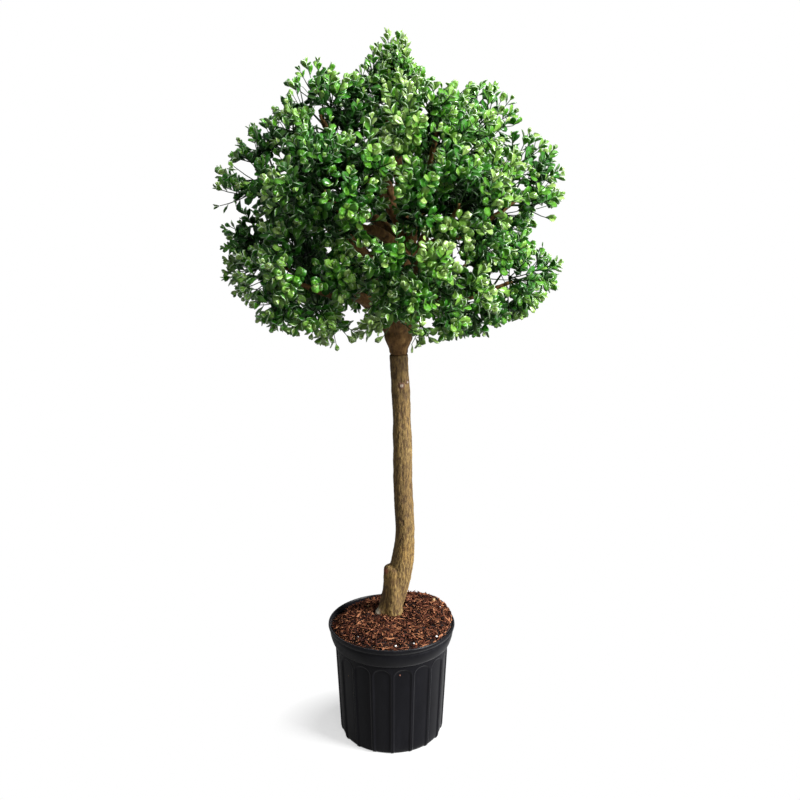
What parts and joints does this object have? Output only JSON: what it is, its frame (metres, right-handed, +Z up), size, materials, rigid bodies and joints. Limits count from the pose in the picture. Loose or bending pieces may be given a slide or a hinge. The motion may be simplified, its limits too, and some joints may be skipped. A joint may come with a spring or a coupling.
{
  "type": "artificial boxwood standard topiary",
  "caption": "Artificial standard topiary: a loose ball of small spoon-shaped leaves on a bare wooden stem, in a fluted black nursery pot topped with bark chips.",
  "frame": {"origin": "Middle of the pot's flat underside, on the floor.", "axes": "+Z up. The picture looks along +Y, with +X to its right; the old cut stub on the trunk is on the -X side. The crown's middle is about 4 mm off the pot's axis along +X."},
  "size_m": [0.7241, 0.7107, 1.5052],
  "materials": {
    "pot": "black blow-moulded plastic with a soft sheen",
    "potting_mix": "dark crumbly potting mix, hidden under the bark",
    "bark_mulch": "shredded red-brown bark",
    "trunk": "natural wood with furrowed olive-tan bark",
    "limbs": "dark reddish-brown moulded bark",
    "foliage": "glossy green leaves, lighter towards the shoot tips"
  },
  "bodies": {
    "root": {"pot": "pot", "potting_mix": "potting_mix", "bark_mulch": "bark_mulch", "trunk": "trunk", "fork": "limbs", "leader": "limbs", "bough_upper_1": "limbs", "bough_upper_2": "limbs", "bough_upper_3": "limbs", "bough_upper_4": "limbs", "bough_middle_1": "limbs", "bough_middle_2": "limbs", "bough_middle_3": "limbs", "bough_middle_4": "limbs", "bough_middle_5": "limbs", "bough_middle_6": "limbs", "bough_lower_1": "limbs", "bough_lower_2": "limbs", "bough_lower_3": "limbs", "bough_lower_4": "limbs", "bough_lower_5": "limbs", "bough_lower_6": "limbs", "foliage_top": "foliage", "foliage_upper_1": "foliage", "foliage_upper_2": "foliage", "foliage_upper_3": "foliage", "foliage_upper_4": "foliage", "foliage_middle_1": "foliage", "foliage_middle_2": "foliage", "foliage_middle_3": "foliage", "foliage_middle_4": "foliage", "foliage_middle_5": "foliage", "foliage_middle_6": "foliage", "foliage_lower_1": "foliage", "foliage_lower_2": "foliage", "foliage_lower_3": "foliage", "foliage_lower_4": "foliage", "foliage_lower_5": "foliage", "foliage_lower_6": "foliage"}
  },
  "joints": []
}
